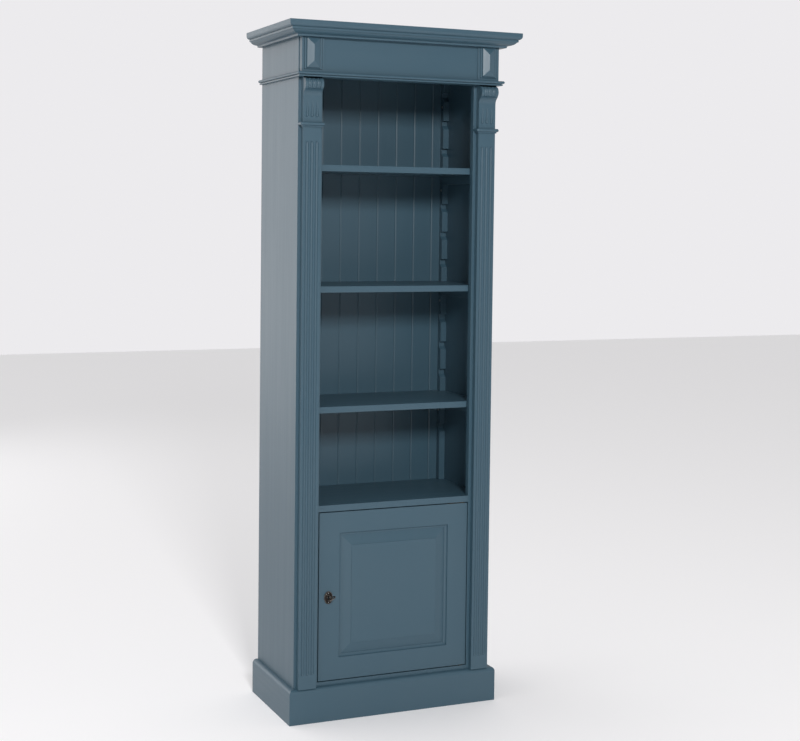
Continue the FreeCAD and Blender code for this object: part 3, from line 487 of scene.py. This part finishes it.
def make_world():
    """Light from the left, from above and from behind more than from the front, and a pale room."""
    world = bpy.data.worlds.new("pale_room")
    world.use_nodes = True
    bpy.context.scene.world = world
    tree = world.node_tree
    tree.nodes.clear()
    way = tree.nodes.new("ShaderNodeSeparateXYZ")
    tree.links.new(tree.nodes.new("ShaderNodeTexCoord").outputs["Generated"], way.inputs[0])
    depth = map_range(tree, way.outputs["Y"], world_front_share, 1.0, -1.0, world_back_start)
    side = map_range(tree, way.outputs["X"], 1.0, world_right_share, -1.0, 1.0)
    top = map_range(tree, way.outputs["Z"], 1.0, world_top_share, world_top_start, 1.0)
    share = math_node(tree, "MULTIPLY", math_node(tree, "MULTIPLY", depth, side), top)
    light = tree.nodes.new("ShaderNodeBackground")
    light.inputs["Color"].default_value = (1.0, 1.0, 1.0, 1.0)
    light_strength = math_node(tree, "MULTIPLY", share, world_strength)
    tree.links.new(light_strength, light.inputs["Strength"])

    ray = tree.nodes.new("ShaderNodeLightPath").outputs
    seen = tree.nodes.new("ShaderNodeBackground")
    seen.inputs["Color"].default_value = (*wall_tone, 1.0)
    pale_right = map_range(
        tree, way.outputs["X"], 0.0, 1.0, mirrored_right_start, mirrored_right_full
    )
    mirrored_share = math_node(tree, "MAXIMUM", share, pale_right)
    seen_strength = math_node(tree, "MAXIMUM", mirrored_share, ray["Is Camera Ray"])
    tree.links.new(seen_strength, seen.inputs["Strength"])

    mirrored = math_node(tree, "MAXIMUM", ray["Is Glossy Ray"], ray["Is Transmission Ray"])
    looked_at = math_node(tree, "MAXIMUM", ray["Is Camera Ray"], mirrored)
    mix = tree.nodes.new("ShaderNodeMixShader")
    out = tree.nodes.new("ShaderNodeOutputWorld")
    tree.links.new(looked_at, mix.inputs[0])
    tree.links.new(light.outputs[0], mix.inputs[1])
    tree.links.new(seen.outputs[0], mix.inputs[2])
    tree.links.new(mix.outputs[0], out.inputs["Surface"])


def make_stage():
    """A plain pale floor."""
    mesh = bpy.data.meshes.new("floor")
    ways = ((-1, -1), (1, -1), (1, 1), (-1, 1))
    corners = [(floor_half * across, floor_half * deep, 0) for across, deep in ways]
    mesh.from_pydata(corners, [], [(0, 1, 2, 3)])
    floor = bpy.data.objects.new("floor", mesh)
    bpy.context.scene.collection.objects.link(floor)
    material, _, shader = new_material("pale_floor")
    shader.inputs["Base Color"].default_value = (*floor_tone, 1.0)
    shader.inputs["Roughness"].default_value = floor_roughness
    shader.inputs["Emission Color"].default_value = (*wall_tone, 1.0)
    shader.inputs["Emission Strength"].default_value = floor_glow
    mesh.materials.append(material)


# Boards

def paint_of(name):
    """The paint whose streaks run along the board."""
    if any(board in name for board in deep_boards):
        return paint_deep
    if any(board in name for board in level_boards):
        return paint_level
    return paint_upright


def soften_edges(piece, width, angle):
    """Rounds the sharp edges of a board, as sanding and paint do."""
    weld = piece.modifiers.new("weld", "WELD")
    weld.merge_threshold = weld_distance
    bevel = piece.modifiers.new("round", "BEVEL")
    bevel.width = width
    bevel.segments = edge_segments
    bevel.limit_method = "ANGLE"
    bevel.angle_limit = angle
    bevel.use_clamp_overlap = True
    normals = piece.modifiers.new("normals", "WEIGHTED_NORMAL")
    normals.keep_sharp = False


def dress_nodes():
    """Gives each node of the frame its material, and each painted board its soft edges."""
    slots = {part["node"]: part["material_slot"] for part in frame["record"]["subparts"]}
    for name, node in frame["nodes"].items():
        slot = slots[name]
        node.data.materials.clear()
        node.data.materials.append(unpainted.get(slot) or paint_of(name))
        if "diamond" in name or name == "door_panel":
            soften_edges(node, facet_round, facet_angle)
        elif slot == "painted_wood":
            soften_edges(node, edge_round, edge_angle)


# Own pieces

def add_skin(mesh, rows, join_rows=False, join_columns=True):
    """Faces over rows of points; the last row or column can join the first one."""
    skin = [[mesh.verts.new(point) for point in row] for row in rows]
    last_row = len(rows) if join_rows else len(rows) - 1
    last_column = len(rows[0]) if join_columns else len(rows[0]) - 1
    for i in range(last_row):
        here, there = skin[i], skin[(i + 1) % len(rows)]
        for j in range(last_column):
            k = (j + 1) % len(here)
            mesh.faces.new((here[j], here[k], there[k], there[j]))
    return skin


def mesh_piece(name, mesh, body, node, material):
    """A smooth piece from a mesh, which stands for a node and rides on its body."""
    bmesh.ops.remove_doubles(mesh, verts=mesh.verts, dist=weld_distance)
    bmesh.ops.recalc_face_normals(mesh, faces=mesh.faces)
    data = bpy.data.meshes.new(name)
    mesh.to_mesh(data)
    mesh.free()
    for face in data.polygons:
        face.use_smooth = True
    data.materials.append(material)
    piece = bpy.data.objects.new(name, data)
    bpy.context.scene.collection.objects.link(piece)
    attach(piece, body)
    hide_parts(node)
    return piece


def sharpen(piece):
    """Keeps the corners crisp where faces meet at a steep angle."""
    split = piece.modifiers.new("crisp", "EDGE_SPLIT")
    split.split_angle = crisp_angle


# Carved consoles

def console_track(height):
    """The console's outline from its foot up: reach, height, the way out, and the part of it."""
    axis_height = height - scroll_drop
    flare_foot = axis_height - scroll_edge_radius - flare_height
    track = []
    steps = round(flare_foot / console_step)
    for step in range(steps + 1):
        track.append((shaft_reach, flare_foot * step / steps, 1.0, 0.0, "shaft"))
    bend = (flare_reach ** 2 + flare_height ** 2) / (2 * flare_reach)
    end = math.asin(flare_height / bend)
    steps = round(bend * end / console_step)
    for step in range(1, steps + 1):
        turn = end * step / steps
        track.append((
            shaft_reach + bend * (1 - math.cos(turn)),
            flare_foot + bend * math.sin(turn),
            math.cos(turn),
            -math.sin(turn),
            "flare",
        ))
    axis_reach = console_reach - scroll_radius
    start = math.atan2(-scroll_edge_radius, shaft_reach + flare_reach - axis_reach)
    steps = round(scroll_radius * (scroll_top_turn - start) / console_step)
    for step in range(steps + 1):
        turn = start + (scroll_top_turn - start) * step / steps
        track.append((
            axis_reach + scroll_radius * math.cos(turn),
            axis_height + scroll_radius * math.sin(turn),
            math.cos(turn),
            math.sin(turn),
            "scroll",
        ))
    return track


def scroll_relief(across, turn, half):
    """Three reeds with a fine line down each, small knobs above them, between two smooth bands."""
    if abs(across) >= half - scroll_band:
        return -band_drop
    width = 2 * (half - scroll_band) / reed_count
    middles = [-half + scroll_band + width * (index + 0.5) for index in range(reed_count)]
    aside = across - min(middles, key=lambda middle: abs(middle - across))
    share = min(abs(aside) / (width / 2), 1.0)
    reed = -reed_depth * (1.0 - math.sqrt(max(0.0, 1.0 - share ** 2)))
    reed -= reed_groove * math.exp(-((share / reed_groove_share) ** 2))
    low_turn = reed_low_turn + reed_scallop * share ** 2
    fade_low = min(1.0, max(0.0, (turn - low_turn) / reed_low_fade))
    fade_high = min(1.0, max(0.0, (reed_high_turn - turn) / reed_high_fade))
    floor = -reed_depth * reed_floor_share
    along = scroll_radius * (turn - knob_turn)
    knob = knob_rise * math.exp(-(aside ** 2 + along ** 2) / knob_spread ** 2)
    return floor + (reed - floor) * math.sqrt(fade_low * fade_high) + knob


def gouge_relief(across, height):
    """Three tapering hollows, round at the foot."""
    deepest = 0.0
    up = height - gouge_foot
    share = min(max(up / gouge_length, 0.0), 1.0)
    radius = gouge_radius + (gouge_tip - gouge_radius) * share
    offset = (gouge_radius - gouge_depth) * (1 - share) + gouge_tip * share
    for index in (-1, 0, 1):
        aside = across - index * gouge_pitch
        room = radius ** 2 - aside ** 2 - min(up, 0.0) ** 2 - max(up - gouge_length, 0.0) ** 2
        if room > 0:
            deepest = max(deepest, math.sqrt(room) - offset)
    return -deepest


def console_relief(part, across, height, turn, half):
    """How far the carving stands out of the outline, or lies under it."""
    if part == "shaft":
        return gouge_relief(across, height)
    if part == "scroll":
        return scroll_relief(across, turn, half)
    return 0.0


def carved_console(side, material):
    """The carved console: reeded scroll, flare, and gouges above the bead."""
    node = "console_" + side
    low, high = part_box(node)
    half = (high.x - low.x) / 2
    middle = (high.x + low.x) / 2
    columns = [half * (2 * index / console_columns - 1) for index in range(console_columns + 1)]
    rows = []
    for reach, height, out, rise, part in console_track(high.z - low.z):
        row = []
        for across in columns:
            relief = console_relief(part, across, height, math.atan2(rise, out), half)
            y = high.y - reach - out * relief
            row.append((middle + across, y, low.z + height + rise * relief))
        rows.append(row)
    mesh = bmesh.new()
    skin = add_skin(mesh, rows, join_columns=False)
    for column in (0, console_columns):
        x = middle + columns[column]
        edge = [row[column] for row in skin]
        top = mesh.verts.new((x, edge[-1].co.y, high.z))
        corner = mesh.verts.new((x, high.y, high.z))
        foot = mesh.verts.new((x, high.y, low.z))
        mesh.faces.new([*edge, top, corner, foot])
    sharpen(mesh_piece("carved_console_" + side, mesh, "case", node, material))


# Plate of the keyhole

def ring_points(middle, half_x, half_z, y, count):
    """An upright ring of points, round or oval."""
    turns = [2 * math.pi * index / count for index in range(count)]
    return [
        Vector((middle.x + half_x * math.cos(turn), y, middle.z + half_z * math.sin(turn)))
        for turn in turns
    ]


def keyhole_points(middle, grow, y):
    """The outline of the keyhole, seen from a point inside it: a round hole over a slot."""
    points = []
    radius, slot, foot = keyhole_radius + grow, keyhole_slot + grow, keyhole_foot - grow
    lift = keyhole_rise - keyhole_middle
    for index in range(plate_columns):
        turn = 2 * math.pi * index / plate_columns
        way_x, way_z = math.cos(turn), math.sin(turn)
        along = way_z * lift
        length = along + math.sqrt(along ** 2 + radius ** 2 - lift ** 2)
        if way_z < 0:
            side = slot / abs(way_x) if way_x else math.inf
            down = (foot - keyhole_middle) / way_z
            length = max(length, min(side, down))
        x = middle.x + way_x * length
        z = middle.z + keyhole_middle + way_z * length
        points.append(Vector((x, y, z)))
    return points


def escutcheon_plate(material):
    """An oval dish with a rolled rim, a chased line and a keyhole."""
    low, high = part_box("escutcheon")
    middle = (low + high) / 2
    half_x, half_z = (high.x - low.x) / 2, (high.z - low.z) / 2
    rows = [
        ring_points(middle, half_x - inset, half_z - inset, high.y - rise, plate_columns)
        for inset, rise in plate_profile
    ]
    hole = keyhole_points(middle, keyhole_edge, high.y - plate_rise)
    rows.append([outer.lerp(inner, 0.5) for outer, inner in zip(rows[-1], hole)])
    rows.append(hole)
    rows.append(keyhole_points(middle, 0.0, high.y - plate_rise + keyhole_edge))
    rows.append(keyhole_points(middle, 0.0, high.y))
    mesh = bmesh.new()
    add_skin(mesh, rows)
    mesh_piece("escutcheon_plate", mesh, "door", "escutcheon", material)


# Key

def bow_rows(middle, bow_y):
    """Rings around the oval rod of the bow, which is turned on the axis of the key."""
    tube = bow_rim / 2
    half_x, half_y = bow_width / 2 - tube, bow_length / 2 - tube
    rows = []
    for step in range(bow_steps):
        turn = 2 * math.pi * step / bow_steps
        out = Vector((math.cos(turn) / half_x, math.sin(turn) / half_y, 0.0)).normalized()
        heart = Vector((half_x * math.cos(turn), half_y * math.sin(turn), 0.0))
        row = []
        for index in range(rod_steps):
            around = 2 * math.pi * index / rod_steps
            spot = heart + out * tube * math.cos(around)
            spot.z = bow_thickness / 2 * math.sin(around)
            x = spot.x * math.cos(bow_turn) - spot.z * math.sin(bow_turn)
            z = spot.x * math.sin(bow_turn) + spot.z * math.cos(bow_turn)
            row.append((middle.x + x, bow_y + spot.y, middle.z + z))
        rows.append(row)
    return rows


def shank_rows(middle, start, end):
    """Rings of the turned collar and the shank, from the bow to the tip."""
    rings = [(start + along, radius) for along, radius in collar_profile]
    rings.append((end - shank_tip, shank_radius))
    rings.append((end, shank_radius - shank_tip_inset))
    rings.append((end, 0.0))
    return [ring_points(middle, radius, radius, y, shank_steps) for y, radius in rings]


def add_bit(mesh, middle, tip):
    """The filed bit, a flat plate with one cut, beside the tip of the shank."""
    outline = (
        (0.0, bit_low), (bit_reach, bit_low),
        (bit_reach, bit_cut_low), (bit_cut_reach, bit_cut_low),
        (bit_cut_reach, bit_cut_high), (bit_reach, bit_cut_high),
        (bit_reach, bit_high), (0.0, bit_high),
    )
    faces = []
    for side in (-bit_half, bit_half):
        face = [mesh.verts.new((middle.x + x, tip + y, middle.z + side)) for x, y in outline]
        mesh.faces.new(face)
        faces.append(face)
    lower, upper = faces
    for index in range(len(outline)):
        after = (index + 1) % len(outline)
        mesh.faces.new((lower[index], lower[after], upper[after], upper[index]))


def turned_key(material):
    """The key: an oval bow of round rod, a turned collar, the shank and a filed bit."""
    low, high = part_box("key")
    middle = (low + high) / 2
    neck = low.y + bow_length - bow_rim * collar_overlap
    mesh = bmesh.new()
    add_skin(mesh, bow_rows(middle, low.y + bow_length / 2), join_rows=True)
    add_skin(mesh, shank_rows(middle, neck, high.y))
    add_bit(mesh, middle, high.y)
    sharpen(mesh_piece("turned_key", mesh, "key", "key", material))


make_camera()
make_world()
area_lamp("key_lamp", key_lamp_place, key_lamp_size, key_lamp_power)
area_lamp("side_lamp", side_lamp_place, side_lamp_size, side_lamp_power)
make_stage()
dress_nodes()
for side in ("left", "right"):
    carved_console(side, paint_upright)
escutcheon_plate(dark_metal)
turned_key(dark_metal)
